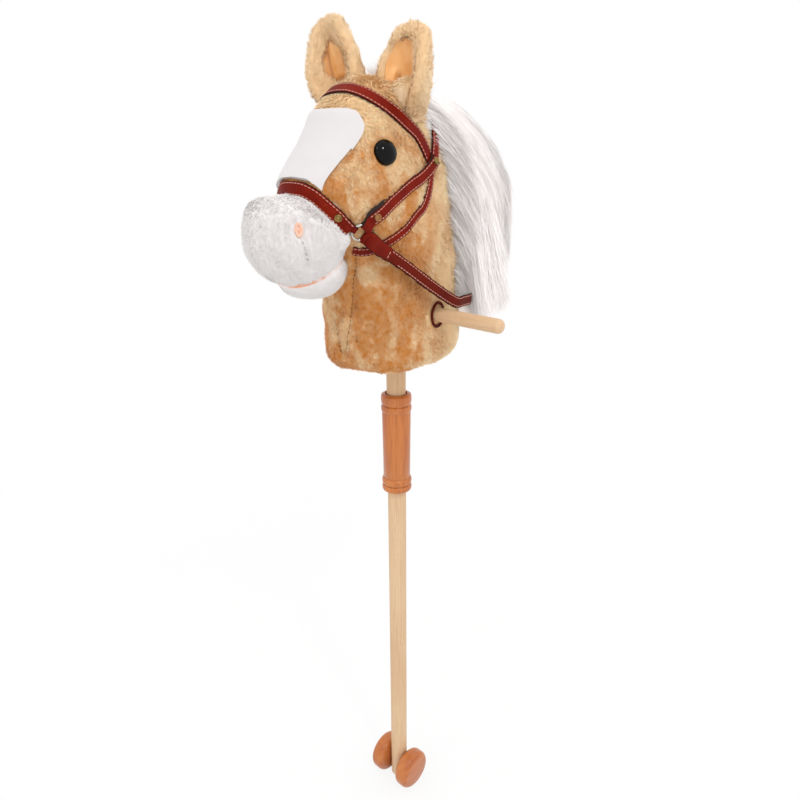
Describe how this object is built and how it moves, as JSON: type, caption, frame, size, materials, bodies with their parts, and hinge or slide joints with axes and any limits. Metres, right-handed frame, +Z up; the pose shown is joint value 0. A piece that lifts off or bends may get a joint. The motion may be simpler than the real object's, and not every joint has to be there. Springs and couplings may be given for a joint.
{
  "type": "hobby horse",
  "caption": "Hobby horse: stuffed plush horse head with bridle and rein on a wooden pole, with a cross handle through the neck, a turned grip and small wheels at the foot.",
  "frame": {"origin": "point on the pole's axis where the cross handle's axis crosses it", "axes": "+Z up the pole, -Y the way the horse looks, +X towards the horse's left, along the handle and the wheels' axle"},
  "size_m": [0.263, 0.3569, 0.9295],
  "materials": {
    "beech": "bare sanded dowel",
    "varnished_wood": "orange-brown varnish, satin gloss",
    "tan_plush": "short mottled pile, tan with golden patches",
    "white_plush": "short white pile",
    "white_hair": "long silky white hair",
    "satin": "smooth peach satin",
    "felt": "peach felt",
    "strap": "smooth red-brown strap with pale stitching and dark edges",
    "steel": "plated wire",
    "brass": "antique rivet",
    "black_gloss": "glossy black dome",
    "nylon": "natural nylon"
  },
  "bodies": {
    "frame": {"upper_pole": "beech", "lower_pole": "beech", "grip": "varnished_wood", "handle": "beech", "neck": "tan_plush", "head": "tan_plush", "muzzle": "white_plush", "chin": "white_plush", "mouth_lining": "felt", "blaze": "white_plush", "ear_left": "tan_plush", "ear_right": "tan_plush", "ear_lining_left": "satin", "ear_lining_right": "satin", "mane": "white_hair", "forelock": "white_hair", "eye_left": "black_gloss", "eye_right": "black_gloss", "eye_washer_left": "nylon", "eye_washer_right": "nylon", "nostril_left": "felt", "nostril_right": "felt", "handle_slot_left": "strap", "handle_slot_right": "strap", "browband": "strap", "crown_strap": "strap", "cheek_strap_left": "strap", "cheek_strap_right": "strap", "jaw_strap_left": "strap", "jaw_strap_right": "strap", "noseband": "strap", "ring_keeper_left": "strap", "ring_keeper_right": "strap", "bit_ring_left": "steel", "bit_ring_right": "steel", "crown_rivet_left": "brass", "crown_rivet_right": "brass", "cheek_rivet_left": "brass", "cheek_rivet_right": "brass", "noseband_rivet_left": "brass", "noseband_rivet_right": "brass", "rein": "strap"},
    "wheel_set": {"axle": "steel", "wheel_left": "varnished_wood", "wheel_right": "varnished_wood"}
  },
  "joints": [
    {"name": "wheel_spin", "type": "hinge", "parent": "frame", "child": "wheel_set", "pos_m": [0, 0, -0.639], "axis": [1, 0, 0], "continuous": true}
  ]
}
